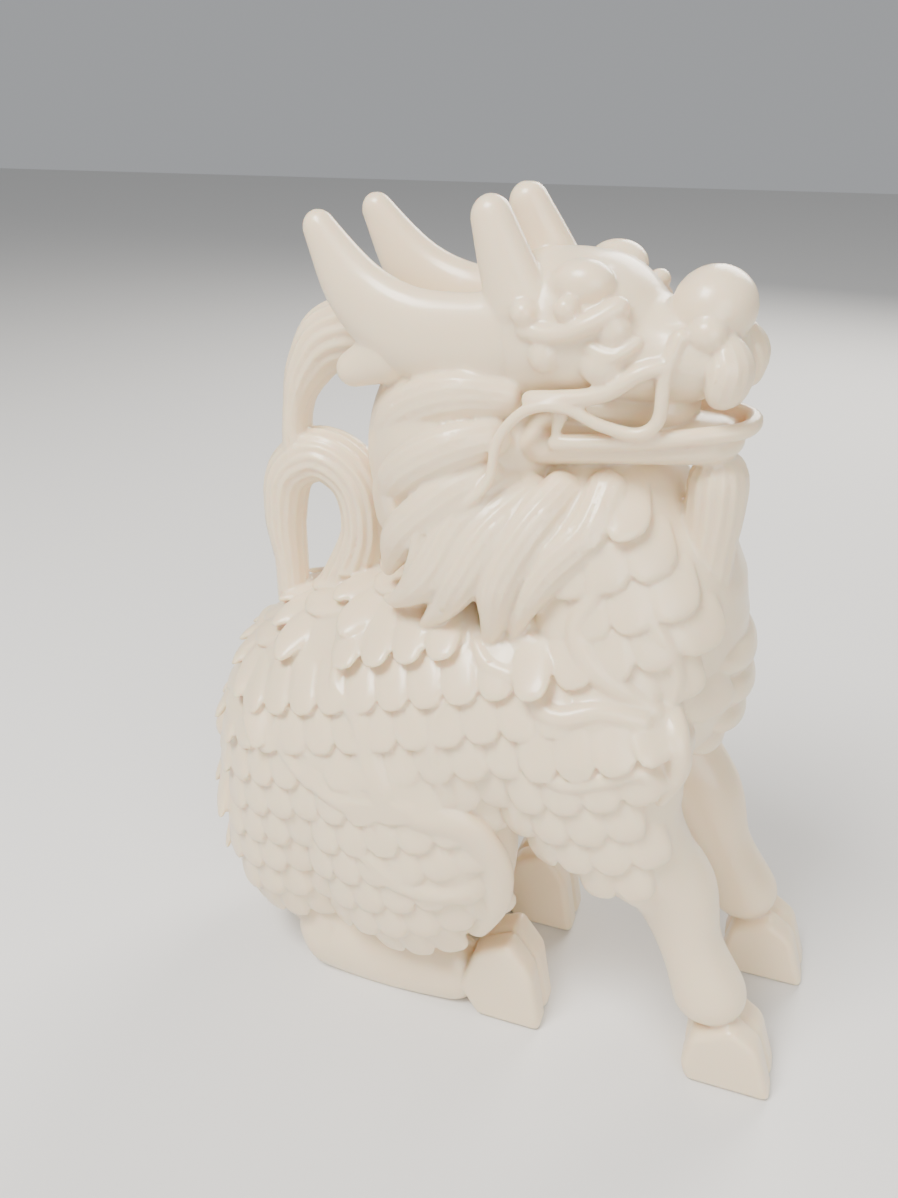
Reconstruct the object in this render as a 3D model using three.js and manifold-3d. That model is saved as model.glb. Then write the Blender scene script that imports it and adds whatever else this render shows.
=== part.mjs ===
// A seated qilin, the scaled and hooved dragon of Chinese ornament, cast in one piece.
// It faces +X, its left side is +Y, and it sits on four hooves and two hocks at Z = 0.
// Lengths are millimetres. Forms are given in plan from a point under the shoulder,
// and the finished casting is moved so that the origin is under the middle of it.
import * as THREE from "three";
import { mergeVertices } from "three/addons/utils/BufferGeometryUtils.js";
import Module from "manifold-3d";

const wasm = await Module();
wasm.setup();

// Driving dimensions
const SHOULDER_TO_MIDDLE = 10.5; // how far the shoulder point lies ahead of the middle
const FORE_SPREAD = 11.6; // from the middle plane to the middle of a forefoot
const HIND_SPREAD = 10.8; // and of a hind foot
const LEFT_REACH = 3.5; // the left forefoot stands this much further forward
const CLAW_THICKNESS = 4.4; // one half of a cloven hoof
const CLAW_OFFSET = 2.25; // from the middle of the hoof to the middle of a claw
const HEAD_TURN = THREE.MathUtils.degToRad(-9); // the head looks a little to its right
const HEAD_ROLL = THREE.MathUtils.degToRad(4); // and is cocked, its left side higher
const HEAD_PIVOT = new THREE.Vector3(-8, -3, 98);
const JOIN_TOLERANCE = 0.4; // joined forms lose edges finer than this
const MERGE_DISTANCE = 1e-4; // corners closer than this are one
const FULLEST_CAP = 0.3; // a round end takes at most this share of its path
const GIRTH_TENSION = 0.4; // how tightly a form's girth follows its stations
const CLEAR_OF_BODY = 60; // from the middle plane to a point well outside the body
const SIDES = [-1, 1]; // right, then left

// Side views of the hooves, as x and z
const FORE_HOOF = [[23.5, 0], [35.8, 0], [33, 9], [29, 12], [23.5, 9], [22.5, 3]];
const HIND_HOOF = [[-9, 0], [1.4, 0], [-0.4, 11], [-4, 16], [-9.5, 13], [-12, 5]];

// Curls of hair along the backbone, as x, z and the turn in degrees
const BACK_CURLS = [[-47.4, 55.6, 25], [-57.4, 34.6, 0], [-55.8, 12.6, -15]];

// Flame tongues on the thigh and the shoulder, as x, z, half width and half rise.
// Their depth comes from the body that they lie on.
const THIGH_FLAMES = [
  [
    [-37.5, 54.5, 0.5, 0.6], [-37.8, 48.5, 1.1, 1.1], [-33.5, 44.2, 1.4, 1.3],
    [-26.3, 42.2, 1.7, 1.5], [-15, 43.5, 2.6, 1.6],
  ],
  [
    [-27.8, 64, 0.5, 0.6], [-29, 58.5, 1.1, 1.2], [-24.6, 55, 1.7, 1.5],
    [-22.8, 50, 1.9, 1.5], [-20, 43.5, 2.4, 1.5],
  ],
  [[-11.6, 61.5, 0.4, 0.7], [-13.5, 57.5, 0.9, 1.1], [-13.2, 51, 1.1, 1.3], [-11.5, 44, 1.9, 1.6]],
  [
    [-17.5, 42.6, 2.2, 1.4], [-10.5, 41, 3, 1.8], [-6.4, 34, 3, 1.8],
    [-6.6, 26, 2.8, 1.6], [-9.5, 18.5, 1.8, 1.2],
  ],
  [
    [-28.5, 35.4, 0.5, 0.6], [-24.4, 34.4, 1, 1.1], [-20, 30.6, 1.5, 1.4],
    [-14, 29, 1.7, 1.5], [-8, 29.5, 2.2, 1.5],
  ],
];
const SHOULDER_FLAMES = [
  [[15.4, 50.5, 0.8, 1], [17, 56, 1.7, 1.6], [16, 60.5, 1.9, 1.7], [14, 63, 1.7, 1.5]],
  [
    [14.2, 61.5, 1.6, 1.5], [15.2, 66.5, 1.4, 1.4], [13.8, 71, 1.2, 1.3],
    [11.4, 75, 1, 1.1], [11.8, 78, 0.4, 0.6],
  ],
  [
    [14.4, 61.5, 1.7, 1.5], [9.8, 65, 1.7, 1.6], [5, 68.6, 1.6, 1.6],
    [3.2, 72.4, 1.4, 1.5], [5, 77.6, 1.2, 1.3], [3, 82.4, 0.4, 0.6],
  ],
  [
    [13.6, 61.5, 1.6, 1.5], [7.5, 62.8, 1.5, 1.5], [1.5, 61.6, 1.5, 1.5],
    [-2.8, 64.6, 1.5, 1.4], [-7.3, 65.6, 1.2, 1.2], [-9.8, 68, 0.4, 0.6],
  ],
  [
    [16, 53, 1.4, 1.4], [12.8, 56, 1.3, 1.3], [7, 54, 1.3, 1.3],
    [3, 53.2, 1.2, 1.2], [-0.6, 56.6, 0.4, 0.6],
  ],
];

// The front edge of the chest plates, from the throat down, as x and z
const CHEST_PLATES = [[19.5, 74.6], [21.6, 70.4], [23.2, 65.8], [23.6, 61], [23, 56.4], [20.8, 52]];
const PLATE_REACH = 9.5; // half the length of the top plate, across the chest
const PLATE_STEP = 0.6; // each plate below it is this much shorter on either side

// Locks of hair on the right side, as x, distance from the middle plane, z, half width
// and half rise: three that sweep back over the neck, then four that hang from the jaw
const LOCKS = [
  [[-6, 11, 98, 2, 1.2], [-14, 12, 98, 3, 2], [-22, 9.5, 94, 3, 2], [-27, 5, 86, 1, 0.8]],
  [[-7, 11.5, 94, 2, 1.2], [-14, 14, 92, 3, 2], [-21, 12, 87, 3, 2], [-25, 7, 80, 1, 0.8]],
  [[-8, 12, 90, 2, 1.2], [-14, 14.5, 86, 3, 2], [-20, 13.5, 80, 3, 2], [-24.5, 9, 72, 0.8, 0.7]],
  [
    [-6, 10, 89, 2.4, 1.6], [-11.9, 14, 83.5, 3, 2.6], [-15.5, 15.5, 76.5, 3.2, 2.6],
    [-21, 14, 71, 1.2, 1.2], [-23.5, 12, 70, 0.5, 0.6],
  ],
  [
    [-3, 9.5, 88, 2.4, 1.6], [-8, 14, 83, 3, 2.8], [-11, 16, 77.5, 3.2, 2.8],
    [-14, 15.5, 72, 2, 2], [-17.5, 14.5, 68, 0.5, 0.6],
  ],
  [
    [0.5, 9.5, 89, 2.4, 1.6], [-3.5, 14, 83.5, 3, 2.8], [-6.6, 16, 77, 3, 2.8],
    [-7.4, 15.6, 71, 1.8, 2], [-8.4, 14.6, 66.5, 0.5, 0.6],
  ],
  [
    [5, 9, 90, 2.4, 1.6], [3.4, 13, 84, 2.8, 2.4], [-0.8, 15, 79, 2.8, 2.6],
    [-3.6, 15.4, 73.6, 1.8, 2], [-5.4, 14.6, 68, 0.5, 0.6],
  ],
];

// The long whisker of the right side, as x, distance from the middle plane and z
const WHISKER = [
  [13, 5.6, 108], [11.8, 7, 103.5], [11.5, 7.6, 98.2], [9.8, 8.2, 96.8], [5.6, 9, 97.4],
  [1.2, 9.8, 99.2], [-3, 10.4, 98.4], [-6, 11.4, 94.8], [-6.8, 12.4, 90], [-9.4, 13.6, 86.8],
  [-14, 14.6, 85], [-15.6, 15.4, 80.6], [-17.4, 15.4, 75.6],
];
const WHISKER_RADIUS = 0.85; // at the nostril
const WHISKER_TAPER = 0.4; // the share of it that is lost by the tip

// A sphere whose rings are moved onto a smooth path through the stations.
// A station is x, y, z, half width and half depth; the depth is measured along out.
function stroke(stations, { out = [0, 1, 0], around = 8, rings = 7, cap = 2 } = {}) {
  const path = new THREE.CatmullRomCurve3(
    stations.map(([x, y, z]) => new THREE.Vector3(x, y, z)), false, "centripetal");
  const girth = new THREE.CatmullRomCurve3(
    stations.map((station) => new THREE.Vector3(station[3], station[4], 0)),
    false, "catmullrom", GIRTH_TENSION);
  const length = path.getLength();
  const capShare = ([, , , width, depth]) => Math.min(FULLEST_CAP, Math.sqrt(width * depth) / length);
  const ends = [capShare(stations[0]), capShare(stations[stations.length - 1])];
  const outward = new THREE.Vector3(...out);
  const geometry = new THREE.SphereGeometry(1, around, rings);
  const position = geometry.getAttribute("position");
  const vertex = new THREE.Vector3();
  for (let i = 0; i < position.count; i++) {
    vertex.fromBufferAttribute(position, i);
    const polar = Math.acos(THREE.MathUtils.clamp(vertex.y, -1, 1));
    const ring = Math.round((polar / Math.PI) * rings);
    const [share, fullness] = ringPlace(ring, rings, cap, ends);
    const angle = Math.atan2(vertex.z, vertex.x);
    const along = path.getTangentAt(share);
    const size = girth.getPoint(path.getUtoTmapping(share));
    const depthAxis = outward.clone().addScaledVector(along, -outward.dot(along)).normalize();
    const widthAxis = along.clone().cross(depthAxis);
    const place = path.getPointAt(share)
      .addScaledVector(widthAxis, Math.cos(angle) * size.x * fullness)
      .addScaledVector(depthAxis, -Math.sin(angle) * size.y * fullness);
    position.setXYZ(i, place.x, place.y, place.z);
  }
  return geometry;
}

// Where a ring lies along the path and how full it is: the outer rings make round ends.
function ringPlace(ring, rings, cap, [startShare, endShare]) {
  if (ring < cap) {
    const turn = (ring / cap) * (Math.PI / 2);
    return [startShare * (1 - Math.cos(turn)), Math.sin(turn)];
  }
  if (ring > rings - cap) {
    const turn = ((rings - ring) / cap) * (Math.PI / 2);
    return [1 - endShare * (1 - Math.cos(turn)), Math.sin(turn)];
  }
  const middle = (ring - cap) / (rings - 2 * cap);
  return [startShare + middle * (1 - startShare - endShare), 1];
}

// A ball with its own half sizes along X, Y and Z
function ball([x, y, z], [a, b, c], { around = 10, rings = 7 } = {}) {
  return new THREE.SphereGeometry(1, around, rings)
    .rotateX(Math.PI / 2)
    .scale(a, b, c)
    .translate(x, y, z);
}

function solid(geometry) {
  const bare = geometry.clone();
  bare.deleteAttribute("normal");
  bare.deleteAttribute("uv");
  const merged = mergeVertices(bare, MERGE_DISTANCE);
  return new wasm.Manifold(new wasm.Mesh({
    numProp: 3,
    vertProperties: merged.getAttribute("position").array,
    triVerts: new Uint32Array(merged.index.array),
    tolerance: JOIN_TOLERANCE,
  }));
}

const join = (geometries) => wasm.Manifold.union(geometries.map(solid));

function surface(manifold) {
  const { vertProperties, triVerts } = manifold.getMesh();
  const geometry = new THREE.BufferGeometry();
  geometry.setAttribute("position", new THREE.BufferAttribute(vertProperties, 3));
  geometry.setIndex(new THREE.BufferAttribute(triVerts, 1));
  geometry.computeVertexNormals();
  return geometry;
}

// Stations given for the right side, put on either side of the middle plane
const onSide = (stations, side) => stations.map(([x, y, z, ...size]) => [x, y * side, z, ...size]);

function torso() {
  const spine = [
    [-37, 0, 6, 12, 12], [-39, 0, 14, 15.5, 16], [-38, 0, 27, 18.5, 18], [-31, 0, 41, 23, 20],
    [-14, 0, 52, 21.5, 20.5], [0, 0, 59, 20, 19.5], [6, 0, 70, 16.5, 17], [2, -1, 80, 13.5, 14],
    [-5, -3, 90, 12, 11.5],
  ];
  const breast = ball([7, 0, 60], [15.6, 16, 15]);
  const maneCore = ball([-15, -1, 88], [14, 13, 17]);
  return [stroke(spine, { around: 16, rings: 12, cap: 3 }), breast, maneCore];
}

function hindLeg(side) {
  const thigh = [[-24, 12, 57, 9, 6], [-22, 13, 45, 16, 8.5], [-21, 13, 30, 17, 8.5], [-21, 12, 12, 11, 7]];
  const y = HIND_SPREAD;
  const shank = [[-41, y, 7, 5, 4.4], [-35, y, 6.5, 7.8, 5], [-25, y, 4.5, 6.8, 4.8], [-9, y, 5, 5.4, 4.6]];
  return [
    stroke(onSide(thigh, side), { around: 14, rings: 8, cap: 3 }),
    stroke(onSide(shank, side), { around: 10 }),
  ];
}

// The shoulder and the foreleg are one tapering form; reach carries the foot forward.
function foreLeg(side, reach) {
  const y = FORE_SPREAD;
  const shoulder = [[3, 13, 66, 12, 7], [4, 14, 55, 15, 7.5], [8.5, 14, 44, 11, 6.4]];
  const leg = [
    [14 + reach * 0.2, y * 1.1, 37, 7.4, 5.8], [17.8 + reach * 0.4, y, 32.4, 6.2, 5.2],
    [21.4 + reach * 0.6, y, 23, 4.5, 4.1], [25 + reach * 0.8, y, 14.5, 5.3, 4.8],
    [26.5 + reach, y, 10, 6, 5.2],
  ];
  return [stroke(onSide([...shoulder, ...leg], side), { around: 11, rings: 12 })];
}

// One half of a cloven hoof, cut to its side view; the sole is flat.
function claw(profile, y) {
  const outline = new THREE.Shape(profile.map(([x, z]) => new THREE.Vector2(x, z)));
  const bevel = 0.9;
  const depth = CLAW_THICKNESS - 2 * bevel;
  const settings = {
    depth, bevelEnabled: true, bevelThickness: bevel, bevelSize: bevel, bevelOffset: -bevel, bevelSegments: 1,
  };
  return new THREE.ExtrudeGeometry(outline, settings)
    .translate(0, 0, -depth / 2)
    .rotateX(Math.PI / 2)
    .translate(0, y, 0);
}

function hooves(side, reach) {
  const forward = FORE_HOOF.map(([x, z]) => [x + reach, z]);
  return SIDES.flatMap((half) => [
    claw(forward, FORE_SPREAD * side + CLAW_OFFSET * half),
    claw(HIND_HOOF, HIND_SPREAD * side + CLAW_OFFSET * half),
  ]);
}

// The braincase and the muzzle are one form, with the nose as a ball on its end.
function skull() {
  const form = [
    [-13, 0, 104.5, 6.6, 7.5], [-5, 0, 105, 9, 9], [2, 0, 105.4, 8.6, 9], [8, 0, 104, 6, 7.8],
    [14, 0, 104.2, 5.4, 6.4], [19, 0, 103.5, 3.8, 4.8],
  ];
  return [stroke(form, { around: 12, rings: 11 }), ball([14.6, 0, 109.2], [4.6, 5, 4.4])];
}

function jaw() {
  const lip = [[-1, 8.6, 94.2], [9.7, 7.2, 95.6], [16, 5, 96.4], [19.8, 2, 96.6]];
  const rim = [...lip, ...lip.map(([x, y, z]) => [x, -y, z]).reverse()].map((point) => [...point, 1, 1]);
  return [
    stroke([[-8, 0, 92.5, 4.6, 9], [2, 0, 93.5, 3.4, 8.4], [12, 0, 94, 2.6, 6.6], [19.5, 0, 94.5, 2.4, 4]],
      { around: 10, cap: 3 }),
    stroke([[-4, 0, 97, 3, 7], [14, 0, 98, 2.6, 4.6]], { around: 6, rings: 3, cap: 1 }),
    stroke(rim, { out: [0, 0, 1], around: 4, rings: 9 }),
    stroke([[17, 0, 93, 3.6, 4.6], [17, 0, 86, 3.6, 3.8], [16.6, 0, 80, 3.4, 3.2], [16, 0, 73, 4, 3]]),
  ];
}

function horn(side) {
  const beam = [
    [-5, 6, 105, 6, 3.2], [-12, 6.6, 104.5, 5.4, 3.2], [-20, 7, 104.8, 5.4, 3.2],
    [-26.5, 6.9, 108.5, 4.4, 2.8], [-33, 6.5, 117.6, 1.7, 1.6],
  ];
  const prong = [[-4.5, 6.4, 106, 4.4, 3], [-7.4, 5.6, 112.5, 3.4, 2.6], [-10.6, 4.7, 120.2, 2.1, 2]];
  const spur = [[-21, 7, 102.6, 4, 2.8], [-30, 7.6, 98.4, 1.9, 1.7]];
  return [
    stroke(onSide(beam, side), { around: 10, rings: 9 }),
    stroke(onSide(prong, side), { rings: 6 }),
    stroke(onSide(spur, side), { around: 6, rings: 5 }),
  ];
}

// The eye, brow, lip, nostril, moustache and fang of one side
function cheek(side) {
  const brow = [
    [-5, 8.6, 107, 1, 1], [0, 9, 107, 1.1, 1.2], [3.6, 8.6, 108.4, 1.2, 1.4], [7, 6, 110.4, 1.4, 1.6],
  ];
  const lip = [
    [13, 6, 104.6, 0.8, 0.9], [9.5, 7.8, 103.6, 1, 1.1], [5.6, 8.8, 101, 1, 1.1], [-4, 9.2, 99, 1.2, 1],
  ];
  const moustache = [[16.4, 3.2, 107.4, 1.2, 1.2], [18, 4, 103.8, 3, 2.2], [17.2, 4.4, 99.4, 2.4, 1.6]];
  const fang = [[0.6, 8.2, 99, 1.3, 1.2], [-0.2, 8.8, 94.6, 0.3, 0.3]];
  const thin = { around: 4, rings: 5, cap: 1 };
  const small = { around: 5, rings: 4 };
  return [
    stroke(onSide(brow, side), thin),
    stroke(onSide(lip, side), thin),
    stroke(onSide(moustache, side), { out: [1, side * 0.6, 0], rings: 6 }),
    stroke(onSide(fang, side), { around: 5, rings: 3, cap: 1 }),
    ball([1.5, 5.4 * side, 111.8], [3.6, 2.8, 2.6], small),
    ball([4.4, 2.8 * side, 110.6], [2, 2, 1.8], small),
    ball([5.9, 7.4 * side, 107.6], [1.9, 1.7, 1.9], small),
    ball([-4, 8.8 * side, 108.8], [1.5, 1.4, 1.5], small),
    ball([4.8, 8 * side, 103.8], [2.4, 1.8, 2.2], small),
    ball([15.2, 4.4 * side, 107.4], [2.2, 2, 2], small),
  ];
}

function whisker(side) {
  const hair = WHISKER.map((point, i) => {
    const radius = WHISKER_RADIUS * (1 - (WHISKER_TAPER * i) / (WHISKER.length - 1));
    return [...point, radius, radius];
  });
  return stroke(onSide(hair, side), { around: 4, rings: 12 });
}

const locks = (side) => LOCKS.map((lock) => stroke(onSide(lock, side), { around: 5, rings: 5, cap: 1 }));

// The tail's hair rises in one loop from the root and a second up to the horns.
function tail() {
  const loop = [
    [-39.5, 0, 58, 4, 4.4], [-34.2, 0, 66, 4, 4.4], [-31, 0, 74.5, 3.9, 4.4], [-32.5, 0, 81.5, 4, 4.2],
    [-37.6, 0, 84.4, 4, 4], [-42.6, 0, 81.5, 3.6, 3.8], [-44.2, 0, 74.5, 3.1, 3.4], [-43.8, 0, 67, 2.4, 3],
    [-44, 0, 59, 2.4, 3],
  ];
  const plume = [
    [-41.6, 0, 83.5, 2, 3], [-40.9, 0, 91, 2, 3], [-39, 0, 96.2, 3.2, 3.4], [-35, 0, 100.8, 4.6, 4],
    [-28, 0, 102, 5, 4.4], [-18, -1, 99, 5, 4.4],
  ];
  return [stroke(loop, { around: 7, rings: 14 }), stroke(plume, { around: 7 })];
}

// A curl on the backbone: a ball with a band of hair rolled behind and under it
function backCurl([x, z, degrees]) {
  const band = [[6, 0, 6, 1.2, 2.4], [4.5, 0, 1, 2.4, 4], [2.5, 0, -4.5, 2.4, 4], [-1, 0, -5, 1.2, 2.4]];
  const turn = THREE.MathUtils.degToRad(degrees);
  return [ball([0, 0, 0], [3, 3, 3], { around: 6, rings: 5 }), stroke(band, { around: 5, rings: 5, cap: 1 })]
    .map((part) => part.rotateY(turn).translate(x, 0, z));
}

function chestPlates() {
  return CHEST_PLATES.map(([x, z], i) => {
    const reach = PLATE_REACH - PLATE_STEP * i;
    const plate = [
      [x - 5, -reach, z + 0.6, 1.6, 1.2], [x - 2.4, -reach * 0.6, z, 2.6, 2], [x - 1.4, 0, z - 0.6, 2.8, 2.2],
      [x - 2.4, reach * 0.6, z, 2.6, 2], [x - 5, reach, z + 0.6, 1.6, 1.2],
    ];
    return stroke(plate, { out: [1, 0, 0.35], around: 4, rings: 5, cap: 1 });
  });
}

// A flame tongue laid on the flank: each point goes to where a line across meets the body.
function flame(points, side, body) {
  const probe = new THREE.Raycaster();
  const stations = points.map(([x, z, width, rise]) => {
    probe.set(new THREE.Vector3(x, side * CLEAR_OF_BODY, z), new THREE.Vector3(0, -side, 0));
    const [hit] = probe.intersectObject(body);
    return [x, hit.point.y, z, width, rise];
  });
  return stroke(stations, { out: [0, side, 0], around: 4, rings: 6, cap: 1 });
}

const setHead = (geometry) => geometry
  .translate(-HEAD_PIVOT.x, 0, -HEAD_PIVOT.z)
  .rotateX(HEAD_ROLL)
  .rotateZ(HEAD_TURN)
  .translate(HEAD_PIVOT.x, HEAD_PIVOT.y, HEAD_PIVOT.z);

const reachOf = (side) => (side > 0 ? LEFT_REACH : 0);
const limbs = SIDES.flatMap((side) => [...hindLeg(side), ...foreLeg(side, reachOf(side))]);
const trunk = join([...torso(), ...limbs]);
const trunkMesh = new THREE.Mesh(surface(trunk));
const flames = SIDES.flatMap((side) =>
  [...THIGH_FLAMES, ...SHOULDER_FLAMES].map((points) => flame(points, side, trunkMesh)));
const headParts = [
  ...skull(), ...jaw(), ...SIDES.flatMap((side) => [...horn(side), ...cheek(side), whisker(side)]),
];
const hair = [...SIDES.flatMap(locks), ...tail()];
const ornament = [...BACK_CURLS.flatMap(backCurl), ...chestPlates(), ...flames, ...hair];
const feet = SIDES.flatMap((side) => hooves(side, reachOf(side)));

// The outer shell of a join; the others are pockets shut in between overlapping forms.
const outerShell = (manifold) => manifold.decompose()
  .reduce((largest, shell) => (shell.volume() > largest.volume() ? shell : largest));

const joined = trunk
  .add(join([...headParts.map(setHead), ...ornament, ...feet]))
  .trimByPlane([0, 0, 1], 0);
const casting = outerShell(joined).translate(SHOULDER_TO_MIDDLE, 0, 0);

const resin = new THREE.MeshStandardMaterial({ color: 0xe6d8bd, roughness: 0.38, metalness: 0 });
const figurine = new THREE.Mesh(surface(casting), resin);
figurine.name = "qilin_figurine";
const group = new THREE.Group();
group.add(figurine);
export default group;
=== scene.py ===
# %% [markdown]
# # A seated qilin, modelled the way a caster's master is made
# The real object is one small figurine cast in ivory-coloured resin. Its maker first built a
# smooth master, laid scales and hair on it, and then took a mould, so every form runs into
# the next without a seam. This lesson does the same. Many closed forms are laid over each
# other, a voxel remesh fuses them into one skin, and a decimation keeps the triangles where
# the carving is.

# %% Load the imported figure
import math
import time
import bmesh
import bpy
import numpy as np
from mathutils import Matrix, Vector
from mathutils.bvhtree import BVHTree


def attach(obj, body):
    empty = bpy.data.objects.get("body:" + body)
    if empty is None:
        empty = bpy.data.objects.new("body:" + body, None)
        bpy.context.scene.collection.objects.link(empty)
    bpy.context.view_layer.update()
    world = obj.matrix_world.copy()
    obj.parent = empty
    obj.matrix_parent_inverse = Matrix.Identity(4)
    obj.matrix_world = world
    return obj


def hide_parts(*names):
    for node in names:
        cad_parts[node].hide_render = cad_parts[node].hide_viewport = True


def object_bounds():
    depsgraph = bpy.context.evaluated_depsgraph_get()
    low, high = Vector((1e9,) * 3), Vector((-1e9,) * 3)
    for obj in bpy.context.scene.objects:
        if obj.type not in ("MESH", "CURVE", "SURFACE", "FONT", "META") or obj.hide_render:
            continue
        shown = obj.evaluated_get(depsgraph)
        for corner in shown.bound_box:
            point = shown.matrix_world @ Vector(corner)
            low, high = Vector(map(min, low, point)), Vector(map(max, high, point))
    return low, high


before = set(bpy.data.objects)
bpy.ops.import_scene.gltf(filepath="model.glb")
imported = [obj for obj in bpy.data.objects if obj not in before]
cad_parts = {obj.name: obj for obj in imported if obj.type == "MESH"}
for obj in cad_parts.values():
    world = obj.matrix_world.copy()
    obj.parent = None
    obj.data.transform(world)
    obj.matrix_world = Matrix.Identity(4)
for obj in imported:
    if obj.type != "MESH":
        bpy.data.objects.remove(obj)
cad_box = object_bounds()
started = time.time()
MM = 0.001
print("solid's box in mm:", [[round(value / MM, 1) for value in corner] for corner in cad_box])

# %% [markdown]
# ## Camera
# The photograph was taken close to the figure, which makes the head large and the tail small.
# A camera with the same viewpoint and focal length gives the same perspective. The focal
# length is known in pixels of the tall picture side, and Blender wants it on its 36 mm sensor.

# %% Camera at the photograph's viewpoint
PICTURE_HEIGHT = 1198
FOCAL_PIXELS = 1000
SENSOR = 36.0
camera_data = bpy.data.cameras.new("camera")
camera_data.sensor_width = SENSOR
camera_data.lens = SENSOR * FOCAL_PIXELS / PICTURE_HEIGHT
camera_data.clip_start = 0.005
camera = bpy.data.objects.new("camera", camera_data)
camera.location = Vector((34.5, -120.9, 130.0)) * MM
camera.rotation_euler = (math.radians(90 - 27), 0, math.radians(19.5))
bpy.context.collection.objects.link(camera)
bpy.context.scene.camera = camera

# %% [markdown]
# ## One brush for every long form
# Legs, horns, locks and flame tongues are all long rounded forms of changing girth. One
# function makes them: it takes a UV sphere, whose poles close the ends, and moves its rings
# onto a smooth path. Each station of the path gives a place, a half width and a half depth.
# The depth is measured along `out`. A cosine round the section cuts the grooves between
# strands of hair.

# %% A smooth path through stations
SPAN_SAMPLES = 16
GIRTH_TENSION = 0.4


def smooth_track(points, tension=None):
    """Samples of a curve through the points: centripetal, or uniform with a tension."""
    points = np.asarray(points, float)
    before = 2 * points[0] - points[1]
    after = 2 * points[-1] - points[-2]
    control = np.vstack([before, points, after])
    share = np.linspace(0, 1, SPAN_SAMPLES, endpoint=False)[:, None]
    spans = []
    for p0, p1, p2, p3 in zip(control, control[1:], control[2:], control[3:]):
        if tension is None:
            d0, d1, d2 = (max(np.linalg.norm(b - a), 1e-6) ** 0.5 for a, b in ((p0, p1), (p1, p2), (p2, p3)))
            start = ((p1 - p0) / d0 - (p2 - p0) / (d0 + d1) + (p2 - p1) / d1) * d1
            end = ((p2 - p1) / d1 - (p3 - p1) / (d1 + d2) + (p3 - p2) / d2) * d1
        else:
            start = tension * (p2 - p0)
            end = tension * (p3 - p1)
        square = 3 * (p2 - p1) - 2 * start - end
        cube = 2 * (p1 - p2) + start + end
        spans.append(p1 + start * share + square * share ** 2 + cube * share ** 3)
    return np.vstack(spans + [points[-1:]])


# %% Spheres to bend
sphere_meshes = {}


def sphere(around, rings):
    """A new unit sphere; each fineness is made once and then copied."""
    if (around, rings) not in sphere_meshes:
        form = bmesh.new()
        bmesh.ops.create_uvsphere(form, u_segments=around, v_segments=rings, radius=1)
        mesh = bpy.data.meshes.new("sphere")
        form.to_mesh(mesh)
        form.free()
        sphere_meshes[around, rings] = mesh
    return sphere_meshes[around, rings].copy()


def points_of(mesh):
    flat = np.empty(3 * len(mesh.vertices), dtype=np.float32)
    mesh.vertices.foreach_get("co", flat)
    return flat.reshape(-1, 3).astype(float)


def move_points(mesh, points):
    mesh.vertices.foreach_set("co", np.asarray(points, dtype=np.float32).ravel())
    return mesh


def unit(vectors):
    return vectors / np.linalg.norm(vectors, axis=-1, keepdims=True)


# %% The brush
FULLEST_CAP = 0.3


def ring_places(rings, cap, ends):
    """Shares of the path and fullness of all rings; the outer rings make round ends."""
    number = np.arange(rings + 1)
    share = ends[0] + (number - cap) / (rings - 2 * cap) * (1 - sum(ends))
    full = np.ones(rings + 1)
    first, last = number < cap, number > rings - cap
    turn = number[first] / cap * math.pi / 2
    share[first], full[first] = ends[0] * (1 - np.cos(turn)), np.sin(turn)
    turn = (rings - number[last]) / cap * math.pi / 2
    share[last], full[last] = 1 - ends[1] * (1 - np.cos(turn)), np.sin(turn)
    return share, full


def stroke(stations, out=(0, 1, 0), around=24, rings=36, cap=6, grooves=0, depth=0.0):
    """A closed form through stations of x, y, z, half width and half depth."""
    stations = np.asarray(stations, float)
    track = smooth_track(stations[:, :3])
    girth = smooth_track(stations[:, 3:5], GIRTH_TENSION)
    steps = np.linalg.norm(np.diff(track, axis=0), axis=1)
    length = steps.sum()
    along_track = np.concatenate([[0], np.cumsum(steps)]) / length
    ends = [min(FULLEST_CAP, math.sqrt(row[3] * row[4]) / length) for row in (stations[0], stations[-1])]
    share, full = ring_places(rings, cap, ends)

    def at_rings(values):
        return np.stack([np.interp(share, along_track, values[:, k]) for k in range(values.shape[1])], 1)

    place, size = at_rings(track), at_rings(girth) * full[:, None]
    along = unit(at_rings(np.gradient(track, axis=0)))
    outward = np.asarray(out, float)
    deep = unit(outward - along * (along @ outward)[:, None])
    wide = np.cross(along, deep)
    mesh = sphere(around, rings)
    x, y, z = points_of(mesh).T
    ring = np.rint(np.arccos(np.clip(z, -1, 1)) / math.pi * rings).astype(int)
    angle = np.arctan2(y, x)
    strand = 1 - depth * (1 - np.abs(np.sin(grooves * angle / 2))) if grooves else np.ones(len(x))
    offset = (wide[ring] * (np.cos(angle) * size[ring, 0])[:, None]
              + deep[ring] * (np.sin(angle) * size[ring, 1])[:, None])
    return move_points(mesh, place[ring] + offset * strand[:, None])


def ball(place, half_sizes, around=24, rings=16):
    """A ball with its own half size along each axis."""
    mesh = sphere(around, rings)
    mesh.transform(Matrix.Translation(place) @ Matrix.Diagonal((*half_sizes, 1)))
    return mesh


def on_side(stations, side):
    return [(row[0], row[1] * side, *row[2:]) for row in stations]


def pour(meshes):
    """One bmesh with all the meshes in it."""
    clay = bmesh.new()
    for mesh in meshes:
        clay.from_mesh(mesh)
        bpy.data.meshes.remove(mesh)
    return clay


SIDES = (-1, 1)

# %% [markdown]
# ## Trunk and limbs
# The body comes first, because scales, flames and hair all lie on it. Its stations are those
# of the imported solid, in millimetres from a point under the shoulder, with many more sides.
# The trunk is kept in a mesh of its own: rays cast at it later say how deep a scale sits.

# %% Trunk and limbs
FORE_SPREAD = 11.6
HIND_SPREAD = 10.8
LEFT_REACH = 3.5


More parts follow.
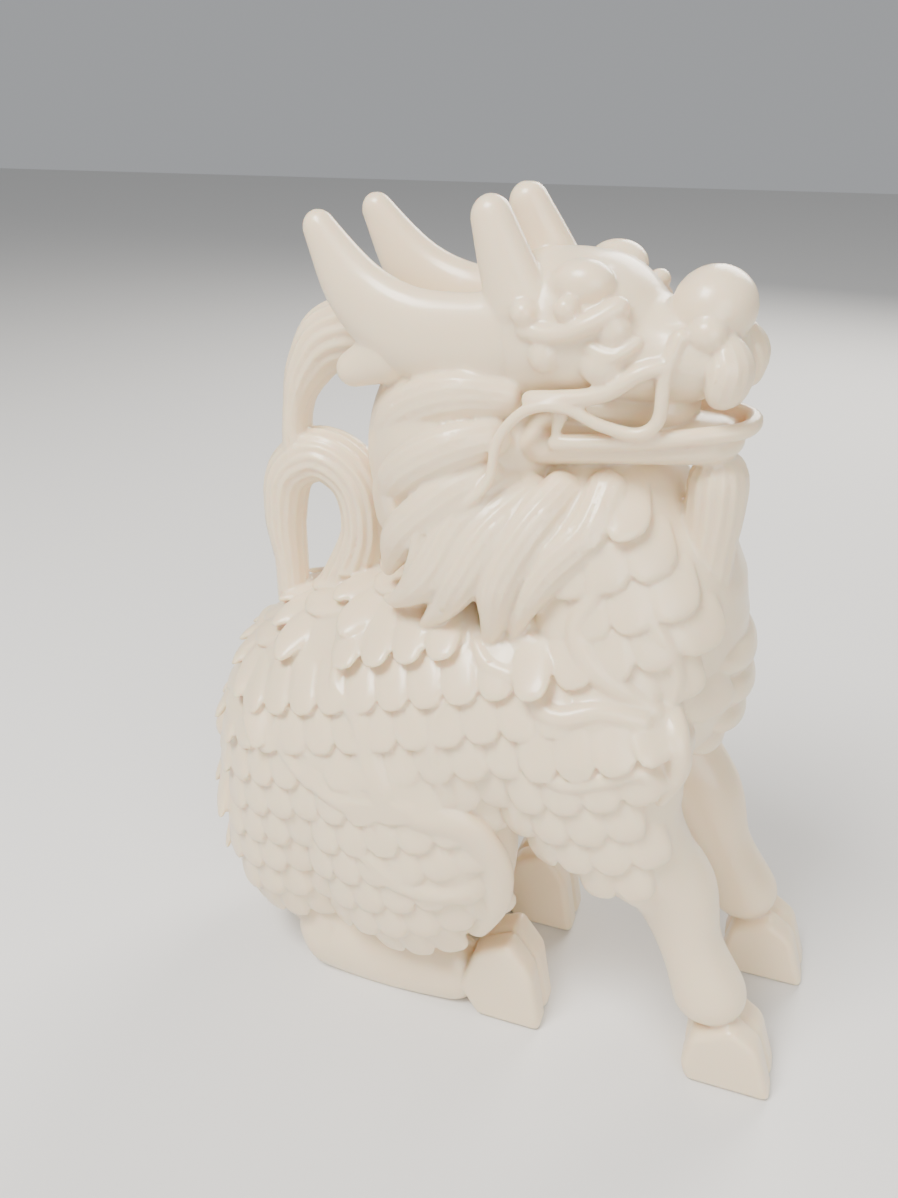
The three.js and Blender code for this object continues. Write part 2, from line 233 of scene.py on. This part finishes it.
def reach_of(side):
    return LEFT_REACH if side > 0 else 0.0


def torso():
    spine = [(-37, 0, 6, 12, 12), (-39, 0, 14, 15.5, 16), (-38, 0, 27, 18.5, 18), (-31, 0, 41, 23, 20),
             (-14, 0, 52, 21.5, 20.5), (0, 0, 59, 20, 19.5), (6, 0, 70, 16.5, 17), (2, -1, 80, 13.5, 14),
             (-5, -3, 90, 12, 11.5)]
    return [stroke(spine, around=64, rings=72, cap=14), ball((7, 0, 60), (15.6, 16, 15), 48, 32),
            ball((-15, -1, 88), (14, 13, 17), 48, 32)]


def hind_leg(side):
    thigh = [(-24, 12, 57, 9, 6), (-22, 13, 45, 16, 8.5), (-21, 13, 30, 17, 8.5), (-21, 12, 12, 11, 7)]
    y = HIND_SPREAD
    shank = [(-41, y, 7, 5, 4.4), (-35, y, 6.5, 7.8, 5), (-25, y, 4.5, 6.8, 4.8), (-9, y, 5, 5.4, 4.6)]
    return [stroke(on_side(thigh, side), around=56, rings=48, cap=12),
            stroke(on_side(shank, side), around=40, rings=48, cap=8)]


def fore_leg(side):
    y, reach = FORE_SPREAD, reach_of(side)
    stations = [(3, 13, 66, 12, 7), (4, 14, 55, 15, 7.5), (8.5, 14, 44, 11, 6.4),
                (14 + reach * 0.2, y * 1.1, 37, 7.4, 5.8), (17.8 + reach * 0.4, y, 32.4, 6.2, 5.2),
                (21.4 + reach * 0.6, y, 23, 4.5, 4.1), (25 + reach * 0.8, y, 14.5, 5.3, 4.8),
                (26.5 + reach, y, 10, 6, 5.2)]
    return [stroke(on_side(stations, side), around=48, rings=72, cap=10)]


trunk = torso()
for side in SIDES:
    trunk += hind_leg(side) + fore_leg(side)
solid_trunk = pour([mesh.copy() for mesh in trunk])
trunk_tree = BVHTree.FromBMesh(solid_trunk)
print("trunk:", len(solid_trunk.verts), "points")
solid_trunk.free()

# %% [markdown]
# ## Hooves
# A qilin has cloven hooves. Each half is an outline filled as one face, extruded sideways and
# bevelled, so the sole stays flat and the cleft between the halves stays sharp.

# %% Hooves
FORE_HOOF = [(23.5, 0), (35.8, 0), (33, 9), (29, 12), (23.5, 9), (22.5, 3)]
HIND_HOOF = [(-9, 0), (1.4, 0), (-0.4, 11), (-4, 16), (-9.5, 13), (-12, 5)]
CLAW_THICKNESS = 4.4
CLAW_OFFSET = 2.25
CLAW_BEVEL = 1.1


def claw(profile, middle):
    part = bmesh.new()
    corners = [part.verts.new((x, middle - CLAW_THICKNESS / 2, z)) for x, z in profile]
    face = part.faces.new(corners)
    grown = bmesh.ops.extrude_face_region(part, geom=[face])["geom"]
    moved = [item for item in grown if isinstance(item, bmesh.types.BMVert)]
    bmesh.ops.translate(part, verts=moved, vec=(0, CLAW_THICKNESS, 0))
    bmesh.ops.recalc_face_normals(part, faces=part.faces)
    bmesh.ops.bevel(part, geom=part.edges, offset=CLAW_BEVEL, segments=4, profile=0.5,
                    affect="EDGES", material=-1)
    mesh = bpy.data.meshes.new("claw")
    part.to_mesh(mesh)
    part.free()
    return mesh


def hooves(side):
    forward = [(x + reach_of(side), z) for x, z in FORE_HOOF]
    fore = [claw(forward, FORE_SPREAD * side + CLAW_OFFSET * half) for half in SIDES]
    return fore + [claw(HIND_HOOF, HIND_SPREAD * side + CLAW_OFFSET * half) for half in SIDES]


# %% [markdown]
# ## Scales
# The scales sit on a slanted grid, as the carver set them out: rows follow the back, and
# columns run down and a little forward. The grid is drawn on the side view and each point is
# cast onto the trunk. The spacing to the next points, measured on the trunk itself, sets the
# size and turn of each scale, so the pattern stays closed where the body curves away. One
# scale is a squared, crowned pad whose tip stands off the one below it.

# %% One scale
SCALE_PITCH = 4.9
SCALE_ROW = 5.3
SCALE_SLANT = math.radians(18)
SCALE_STAGGER = 0.35
SCALE_TILT = math.radians(11)
SCALE_HALF_THICKNESS = 0.85
SQUARENESS = 0.72


def scale_pad(centre, across, down, outward):
    """A crowned pad; across and down are half sizes as vectors on the surface."""
    length = down.length
    down = (down.normalized() * math.cos(SCALE_TILT) + outward * math.sin(SCALE_TILT)) * length
    mesh = sphere(16, 8)
    x, y, z = points_of(mesh).T
    x = np.copysign(np.abs(x) ** SQUARENESS, x)
    y = np.copysign(np.abs(y) ** SQUARENESS, y)
    axes = np.array([across, down, outward * SCALE_HALF_THICKNESS])
    return move_points(mesh, np.array(centre) + np.stack([x, y, z], 1) @ axes)


# %% Scales laid on the trunk
MOST_STRETCH = 1.7


def cast_on_trunk(origin, direction):
    place, normal, _, _ = trunk_tree.ray_cast(origin, direction)
    return place, normal


def lay_scales(to_point, direction, columns, rows, wanted, taken):
    """A slanted grid of scales cast along direction; to_point turns grid units into a start."""
    pads = []
    for row in rows:
        for column in columns:
            u = column + SCALE_STAGGER * row
            middle, normal = cast_on_trunk(to_point(u, row), direction)
            if middle is None or not wanted(middle):
                continue
            edges = [cast_on_trunk(to_point(u + du, row + dv), direction)[0]
                     for du, dv in ((-0.5, 0), (0.5, 0), (0, -0.5), (0, 0.5))]
            if any(edge is None for edge in edges):
                continue
            across, down = edges[1] - edges[0], edges[3] - edges[2]
            if across.length > SCALE_PITCH * MOST_STRETCH or down.length > SCALE_ROW * MOST_STRETCH:
                continue
            if any((middle - other).length < SCALE_PITCH * 0.62 for other in taken[-900:]):
                continue
            taken.append(middle)
            normal = down.cross(across).normalized()
            if normal.dot(direction) > 0:
                normal.negate()
            centre = middle + normal * 0.05 + down * 0.1
            pads.append(scale_pad(centre, across * 0.54, down * 0.72, normal))
    return pads

# %% Where scales grow
def scaly(place):
    """True on rump, thigh, flank, shoulder and neck; the lower legs are smooth."""
    x, y, z = place
    if x < -4:
        return z > 9 and z < 84
    if x < 6:
        return z > 31 - 0.6 * x
    return z > 37 and not (x > 17 and abs(y) < 9)


def side_start(side):
    along = Vector((math.cos(SCALE_SLANT), 0, math.sin(SCALE_SLANT))) * SCALE_PITCH
    below = Vector((math.sin(SCALE_SLANT), 0, -math.cos(SCALE_SLANT))) * SCALE_ROW
    return lambda u, v: Vector((-20, side * 60, 45)) + along * u + below * v


def back_start(u, v):
    below = Vector((-0.6, 0, -0.8)) * SCALE_ROW
    return Vector((-62, 0, 80)) + Vector((0, SCALE_PITCH, 0)) * (u - SCALE_STAGGER * v + (v % 2) / 2) + below * v


scales = []
taken = []
for side in SIDES:
    scales += lay_scales(side_start(side), Vector((0, -side, 0)), range(-12, 14), range(-9, 13), scaly, taken)
scales += lay_scales(back_start, Vector((0.8, 0, -0.6)), range(-9, 10), range(-8, 12), scaly, taken)
print("scales:", len(scales))

# %% [markdown]
# ## Flames
# Flame tongues lick up from the knee and the elbow. Each is a rounded ridge laid on the trunk.
# Its line is drawn on the side view, sampled closely, and cast onto the trunk, so that it
# follows the muscle. Low pads between the roots of the tongues make the smooth webs.

# %% Flames
THIGH_FLAMES = [
    [(-37.5, 54.5, 0.5, 0.6), (-37.8, 48.5, 1.1, 1.1), (-33.5, 44.2, 1.4, 1.3), (-26.3, 42.2, 1.7, 1.5),
     (-15, 43.5, 2.6, 1.6)],
    [(-27.8, 64, 0.5, 0.6), (-29, 58.5, 1.1, 1.2), (-24.6, 55, 1.7, 1.5), (-22.8, 50, 1.9, 1.5),
     (-20, 43.5, 2.4, 1.5)],
    [(-11.6, 61.5, 0.4, 0.7), (-13.5, 57.5, 0.9, 1.1), (-13.2, 51, 1.1, 1.3), (-11.5, 44, 1.9, 1.6)],
    [(-17.5, 42.6, 2.2, 1.4), (-10.5, 41, 3, 1.8), (-6.4, 34, 3, 1.8), (-6.6, 26, 2.8, 1.6),
     (-9.5, 18.5, 1.8, 1.2)],
    [(-28.5, 35.4, 0.5, 0.6), (-24.4, 34.4, 1, 1.1), (-20, 30.6, 1.5, 1.4), (-14, 29, 1.7, 1.5),
     (-8, 29.5, 2.2, 1.5)],
]
SHOULDER_FLAMES = [
    [(15.4, 50.5, 0.8, 1), (17, 56, 1.7, 1.6), (16, 60.5, 1.9, 1.7), (14, 63, 1.7, 1.5)],
    [(14.2, 61.5, 1.6, 1.5), (15.2, 66.5, 1.4, 1.4), (13.8, 71, 1.2, 1.3), (11.4, 75, 1, 1.1),
     (11.8, 78, 0.4, 0.6)],
    [(14.4, 61.5, 1.7, 1.5), (9.8, 65, 1.7, 1.6), (5, 68.6, 1.6, 1.6), (3.2, 72.4, 1.4, 1.5),
     (5, 77.6, 1.2, 1.3), (3, 82.4, 0.4, 0.6)],
    [(13.6, 61.5, 1.6, 1.5), (7.5, 62.8, 1.5, 1.5), (1.5, 61.6, 1.5, 1.5), (-2.8, 64.6, 1.5, 1.4),
     (-7.3, 65.6, 1.2, 1.2), (-9.8, 68, 0.4, 0.6)],
    [(16, 53, 1.4, 1.4), (12.8, 56, 1.3, 1.3), (7, 54, 1.3, 1.3), (3, 53.2, 1.2, 1.2),
     (-0.6, 56.6, 0.4, 0.6)],
]
# Smooth webs between the tongues, as x, z, half length and half height
WEBS = [(-30.5, 46.5, 4.4, 2.6), (-25, 45.5, 4, 3.4), (-17, 46.5, 4.4, 4), (-14.5, 51, 2.2, 4),
        (-11, 33, 3.4, 3.4), (-17, 32.5, 3, 1.6), (11.6, 64.4, 2.6, 1.8), (9, 57.5, 3, 1.2)]
LAID_SAMPLES = 15


def laid(points, side, sink=0.0):
    """Stations of a line drawn on the side view, cast onto the trunk."""
    line = smooth_track([(x, z, 0) for x, z, _, _ in points])
    girth = smooth_track([(width, rise) for _, _, width, rise in points], GIRTH_TENSION)
    stations = []
    for k in np.linspace(0, len(line) - 1, LAID_SAMPLES).astype(int):
        place, _ = cast_on_trunk(Vector((line[k][0], side * 60, line[k][1])), Vector((0, -side, 0)))
        if place is not None:
            stations.append((place.x, place.y - side * sink, place.z, *girth[k]))
    return stations


def flame(points, side):
    return stroke(laid(points, side), out=(0, side, 0), around=20, rings=44, cap=4)


def web(x, z, half_length, half_height, side):
    place, normal = cast_on_trunk(Vector((x, side * 60, z)), Vector((0, -side, 0)))
    pad = ball((0, 0, 0), (half_length, half_height, 0.95), 28, 14)
    turn = normal.to_track_quat("Z", "Y").to_matrix().to_4x4()
    pad.transform(Matrix.Translation(place) @ turn)
    return pad


# %% [markdown]
# ## Hair
# Every lock is the same brush with grooves round its section, so that its strands run from
# root to tip and meet in a point.

# %% Locks, tail and curls along the back
LOCKS = [
    [(-6, 11, 98, 2, 1.2), (-14, 12, 98, 3, 2), (-22, 9.5, 94, 3, 2), (-27, 5, 86, 1, 0.8)],
    [(-7, 11.5, 94, 2, 1.2), (-14, 14, 92, 3, 2), (-21, 12, 87, 3, 2), (-25, 7, 80, 1, 0.8)],
    [(-8, 12, 90, 2, 1.2), (-14, 14.5, 86, 3, 2), (-20, 13.5, 80, 3, 2), (-24.5, 9, 72, 0.8, 0.7)],
    [(-6, 10, 89, 2.4, 1.6), (-11.9, 14, 83.5, 3, 2.6), (-15.5, 15.5, 76.5, 3.2, 2.6),
     (-21, 14, 71, 1.2, 1.2), (-23.5, 12, 70, 0.5, 0.6)],
    [(-3, 9.5, 88, 2.4, 1.6), (-8, 14, 83, 3, 2.8), (-11, 16, 77.5, 3.2, 2.8), (-14, 15.5, 72, 2, 2),
     (-17.5, 14.5, 68, 0.5, 0.6)],
    [(0.5, 9.5, 89, 2.4, 1.6), (-3.5, 14, 83.5, 3, 2.8), (-6.6, 16, 77, 3, 2.8), (-7.4, 15.6, 71, 1.8, 2),
     (-8.4, 14.6, 66.5, 0.5, 0.6)],
    [(5, 9, 90, 2.4, 1.6), (3.4, 13, 84, 2.8, 2.4), (-0.8, 15, 79, 2.8, 2.6), (-3.6, 15.4, 73.6, 1.8, 2),
     (-5.4, 14.6, 68, 0.5, 0.6)],
]
BACK_CURLS = [(-47.4, 55.6, 25), (-57.4, 34.6, 0), (-55.8, 12.6, -15)]
STRAND_DEPTH = 0.14


def locks(side):
    return [stroke(on_side(lock, side), around=84, rings=40, cap=5, grooves=14, depth=STRAND_DEPTH)
            for lock in LOCKS]


def tail():
    loop = [(-39.5, 0, 58, 4, 4.4), (-34.2, 0, 66, 4, 4.4), (-31, 0, 74.5, 3.9, 4.4), (-32.5, 0, 81.5, 4, 4.2),
            (-37.6, 0, 84.4, 4, 4), (-42.6, 0, 81.5, 3.6, 3.8), (-44.2, 0, 74.5, 3.1, 3.4),
            (-43.8, 0, 67, 2.4, 3), (-44, 0, 59, 2.4, 3)]
    plume = [(-41.6, 0, 83.5, 2, 3), (-40.9, 0, 91, 2, 3), (-39, 0, 96.2, 3.2, 3.4), (-35, 0, 100.8, 4.6, 4),
             (-28, 0, 102, 5, 4.4), (-18, -1, 99, 5, 4.4)]
    return [stroke(loop, around=96, rings=110, cap=8, grooves=16, depth=STRAND_DEPTH),
            stroke(plume, around=96, rings=80, cap=8, grooves=16, depth=STRAND_DEPTH)]


def back_curl(x, z, degrees):
    band = [(6, 0, 6, 1.2, 2.4), (4.5, 0, 1, 2.4, 4), (2.5, 0, -4.5, 2.4, 4), (-1, 0, -5, 1.2, 2.4)]
    curl = [ball((0, 0, 0), (3, 3, 3)),
            stroke(band, around=72, rings=36, cap=5, grooves=12, depth=STRAND_DEPTH)]
    for mesh in curl:
        mesh.transform(Matrix.Translation((x, 0, z)) @ Matrix.Rotation(math.radians(degrees), 4, "Y"))
    return curl


# %% Chest plates
CHEST_PLATES = [(19.5, 74.6), (21.6, 70.4), (23.2, 65.8), (23.6, 61), (23, 56.4), (20.8, 52)]
PLATE_REACH = 9.5
PLATE_STEP = 0.6


def chest_plates():
    plates = []
    for number, (x, z) in enumerate(CHEST_PLATES):
        reach = PLATE_REACH - PLATE_STEP * number
        plate = [(x - 5, -reach, z + 0.6, 1.6, 1.2), (x - 2.4, -reach * 0.6, z, 2.6, 2),
                 (x - 1.4, 0, z - 0.6, 2.8, 2.2), (x - 2.4, reach * 0.6, z, 2.6, 2),
                 (x - 5, reach, z + 0.6, 1.6, 1.2)]
        plates.append(stroke(plate, out=(1, 0, 0.35), around=24, rings=40, cap=5))
    return plates


# %% [markdown]
# ## Head
# The head is made looking straight ahead, then turned a little to its right and cocked.

# %% Skull, jaw, horns and face
HEAD_PIVOT = Vector((-8, -3, 98))
SET_HEAD = (Matrix.Translation(HEAD_PIVOT) @ Matrix.Rotation(math.radians(-9), 4, "Z")
            @ Matrix.Rotation(math.radians(4), 4, "X") @ Matrix.Translation((8, 0, -98)))


def skull():
    form = [(-13, 0, 104.5, 6.6, 7.5), (-5, 0, 105, 9, 9), (2, 0, 105.4, 8.6, 9), (8, 0, 104, 6, 7.8),
            (14, 0, 104.2, 5.4, 6.4), (19, 0, 103.5, 3.8, 4.8)]
    return [stroke(form, around=48, rings=60, cap=10), ball((14.6, 0, 109.2), (4.6, 5, 4.4), 32, 24)]


def jaw():
    lip = [(-1, 8.6, 94.2), (9.7, 7.2, 95.6), (16, 5, 96.4), (19.8, 2, 96.6)]
    rim = lip + [(x, -y, z) for x, y, z in reversed(lip)]
    bone = [(-8, 0, 92.5, 4.6, 9), (2, 0, 93.5, 3.4, 8.4), (12, 0, 94, 2.6, 6.6), (19.5, 0, 94.5, 2.4, 4)]
    tongue = [(-4, 0, 97, 3, 7), (14, 0, 98, 2.6, 4.6)]
    beard = [(17, 0, 93, 3.6, 4.6), (17, 0, 86, 3.6, 3.8), (16.6, 0, 80, 3.4, 3.2), (16, 0, 73, 4, 3)]
    return [stroke(bone, around=48, rings=48, cap=8), stroke(tongue, around=32, rings=24, cap=6),
            stroke([(*point, 1, 1) for point in rim], out=(0, 0, 1), around=16, rings=60, cap=4),
            stroke(beard, around=84, rings=48, cap=6, grooves=14, depth=0.1)]


def horn(side):
    beam = [(-5, 6, 105, 6, 3.2), (-12, 6.6, 104.5, 5.4, 3.2), (-20, 7, 104.8, 5.4, 3.2),
            (-26.5, 6.9, 108.5, 4.4, 2.8), (-33, 6.5, 117.6, 1.7, 1.6)]
    prong = [(-4.5, 6.4, 106, 4.4, 3), (-7.4, 5.6, 112.5, 3.4, 2.6), (-10.6, 4.7, 120.2, 2.1, 2)]
    spur = [(-21, 7, 102.6, 4, 2.8), (-30, 7.6, 98.4, 1.9, 1.7)]
    return [stroke(on_side(beam, side), around=40, rings=60, cap=8),
            stroke(on_side(prong, side), around=32, rings=36, cap=8),
            stroke(on_side(spur, side), around=32, rings=30, cap=8)]


def cheek(side):
    brow = [(-5, 8.6, 107, 1, 1), (0, 9, 107, 1.1, 1.2), (3.6, 8.6, 108.4, 1.2, 1.4), (7, 6, 110.4, 1.4, 1.6)]
    lid = [(3.2, 8.6, 106, 0.6, 0.6), (6.4, 8.6, 105.2, 0.8, 0.8), (9, 7, 107, 0.6, 0.6)]
    lip = [(13, 6, 104.6, 0.8, 0.9), (9.5, 7.8, 103.6, 1, 1.1), (5.6, 8.8, 101, 1, 1.1), (-4, 9.2, 99, 1.2, 1)]
    moustache = [(16.4, 3.2, 107.4, 1.2, 1.2), (18, 4, 103.8, 3, 2.2), (17.2, 4.4, 99.4, 2.4, 1.6)]
    fang = [(0.6, 8.2, 99, 1.3, 1.2), (-0.2, 8.8, 94.6, 0.3, 0.3)]
    forms = [stroke(on_side(fold, side), around=16, rings=36, cap=4) for fold in (brow, lid, lip, fang)]
    forms.append(stroke(on_side(moustache, side), out=(1, side * 0.6, 0), around=80, rings=36, cap=5,
                        grooves=13, depth=STRAND_DEPTH))
    for place, half_sizes in (((1.5, 5.4, 111.8), (3.6, 2.8, 2.6)), ((4.4, 2.8, 110.6), (2, 2, 1.8)),
                              ((5.9, 7.4, 107.6), (1.9, 1.7, 1.9)), ((-4, 8.8, 108.8), (1.5, 1.4, 1.5)),
                              ((0.9, 8.6, 109.7), (1.4, 1.4, 1.4)), ((4.8, 8, 103.8), (2.4, 1.8, 2.2)),
                              ((-1.6, 8.8, 104.4), (1.7, 1.4, 1.9)), ((15.2, 4.4, 107.4), (2.2, 2, 2))):
        forms.append(ball((place[0], place[1] * side, place[2]), half_sizes))
    return forms


WHISKER = [(13, 5.6, 108), (11.8, 7, 103.5), (11.5, 7.6, 98.2), (9.8, 8.2, 96.8), (5.6, 9, 97.4),
           (1.2, 9.8, 99.2), (-3, 10.4, 98.4), (-6, 11.4, 94.8), (-6.8, 12.4, 90), (-9.4, 13.6, 86.8),
           (-14, 14.6, 85), (-15.6, 15.4, 80.6), (-17.4, 15.4, 75.6)]


def whisker(side):
    last = len(WHISKER) - 1
    hair = [(*point, 0.85 * (1 - 0.4 * k / last), 0.85 * (1 - 0.4 * k / last)) for k, point in enumerate(WHISKER)]
    return [stroke(on_side(hair, side), around=16, rings=120, cap=4)]


head = skull() + jaw()
for side in SIDES:
    head += horn(side) + cheek(side) + whisker(side)
for mesh in head:
    mesh.transform(SET_HEAD)
print("head:", len(head), "forms")

# %% [markdown]
# ## One casting
# All the forms are poured into one mesh. The voxel remesh keeps only their outer skin, a
# light smoothing takes off the steps of its grid, and the decimation brings the skin down to
# a size that a shared part can have.

# %% Fuse the forms
SHOULDER_TO_MIDDLE = 10.5
VOXEL = 0.28
MOST_TRIANGLES = 195000

forms = trunk + scales + head + tail() + chest_plates()
for side in SIDES:
    forms += hooves(side) + locks(side)
    forms += [flame(points, side) for points in THIGH_FLAMES + SHOULDER_FLAMES]
    forms += [web(*place_and_size, side) for place_and_size in WEBS]
for place_and_turn in BACK_CURLS:
    forms += back_curl(*place_and_turn)
clay = pour(forms)
clay_mesh = bpy.data.meshes.new("qilin_casting")
clay.to_mesh(clay_mesh)
clay.free()
casting = bpy.data.objects.new("qilin_casting", clay_mesh)
bpy.context.collection.objects.link(casting)
print("forms laid:", len(clay_mesh.vertices), "points in", round(time.time() - started, 1), "s")


def settle(obj):
    """Replace an object's mesh by what its modifiers make of it."""
    graph = bpy.context.evaluated_depsgraph_get()
    made = bpy.data.meshes.new_from_object(obj.evaluated_get(graph))
    old = obj.data
    obj.modifiers.clear()
    obj.data = made
    bpy.data.meshes.remove(old)


fused = casting.modifiers.new("fuse", "REMESH")
fused.mode = "VOXEL"
fused.voxel_size = VOXEL
settle(casting)
print("fused:", len(casting.data.polygons), "faces in", round(time.time() - started, 1), "s")

soften = casting.modifiers.new("soften", "SMOOTH")
soften.factor = 0.5
soften.iterations = 2
thin = casting.modifiers.new("thin", "DECIMATE")
thin.ratio = min(1.0, MOST_TRIANGLES / (2 * len(casting.data.polygons)))
settle(casting)
print("thinned:", len(casting.data.polygons), "faces in", round(time.time() - started, 1), "s")

# %% Put the casting in the shared frame
casting.data.transform(Matrix.Scale(MM, 4) @ Matrix.Translation((SHOULDER_TO_MIDDLE, 0, 0)))
above = bmesh.new()
above.from_mesh(casting.data)
for vertex in above.verts:
    vertex.co.z = max(vertex.co.z, 0.0)
    for axis in range(3):
        vertex.co[axis] = min(max(vertex.co[axis], cad_box[0][axis]), cad_box[1][axis])
above.to_mesh(casting.data)
above.free()
casting.data.shade_smooth()
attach(casting, "root")
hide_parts("qilin_figurine")

# %% [markdown]
# ## Ivory resin
# The resin is creamy and lets a little light in, so the shader has some subsurface light of a warm colour.

# %% Resin
resin = bpy.data.materials.new("ivory_resin")
resin.use_nodes = True
nodes = resin.node_tree.nodes
links = resin.node_tree.links
shader = nodes["Principled BSDF"]
shader.inputs["Base Color"].default_value = (0.80, 0.66, 0.46, 1)
shader.inputs["Roughness"].default_value = 0.33
shader.inputs["IOR"].default_value = 1.5
shader.inputs["Subsurface Weight"].default_value = 0.6
shader.inputs["Subsurface Radius"].default_value = (1.0, 0.55, 0.3)
shader.inputs["Subsurface Scale"].default_value = 0.002
shader.inputs["Coat Weight"].default_value = 0.25
shader.inputs["Coat Roughness"].default_value = 0.15
casting.data.materials.clear()
casting.data.materials.append(resin)

# %% [markdown]
# ## Studio
# A pale floor and three soft lamps: a large one above and to the left for the long
# highlights, a weak one from the front, and one from behind that shows the thin parts glow.

# %% Floor
floor_mesh = bpy.data.meshes.new("floor")
floor_form = bmesh.new()
bmesh.ops.create_grid(floor_form, x_segments=1, y_segments=1, size=1.5)
floor_form.to_mesh(floor_mesh)
floor_form.free()
floor = bpy.data.objects.new("floor", floor_mesh)
bpy.context.collection.objects.link(floor)
paper = bpy.data.materials.new("pale_paper")
paper.use_nodes = True
paper.node_tree.nodes["Principled BSDF"].inputs["Base Color"].default_value = (0.72, 0.71, 0.69, 1)
paper.node_tree.nodes["Principled BSDF"].inputs["Roughness"].default_value = 0.9
floor_mesh.materials.append(paper)


# %% Lamps
def soft_lamp(name, place, aim, power, size, colour):
    data = bpy.data.lights.new(name, "AREA")
    data.energy = power
    data.size = size
    data.color = colour
    lamp = bpy.data.objects.new(name, data)
    lamp.location = place
    lamp.rotation_euler = (Vector(aim) - Vector(place)).to_track_quat("-Z", "Y").to_euler()
    bpy.context.collection.objects.link(lamp)


MIDDLE = (0, 0, 0.06)
soft_lamp("key", (-0.15, -0.25, 0.50), MIDDLE, 5.0, 0.20, (1.0, 0.98, 0.95))
soft_lamp("front", (0.35, -0.45, 0.25), MIDDLE, 2.5, 0.40, (1.0, 1.0, 1.0))
soft_lamp("back", (0.10, 0.45, 0.35), MIDDLE, 3.0, 0.30, (1.0, 0.96, 0.9))
world = bpy.data.worlds.new("studio")
world.use_nodes = True
world.node_tree.nodes["Background"].inputs["Color"].default_value = (0.85, 0.87, 0.9, 1)
world.node_tree.nodes["Background"].inputs["Strength"].default_value = 0.45
bpy.context.scene.world = world
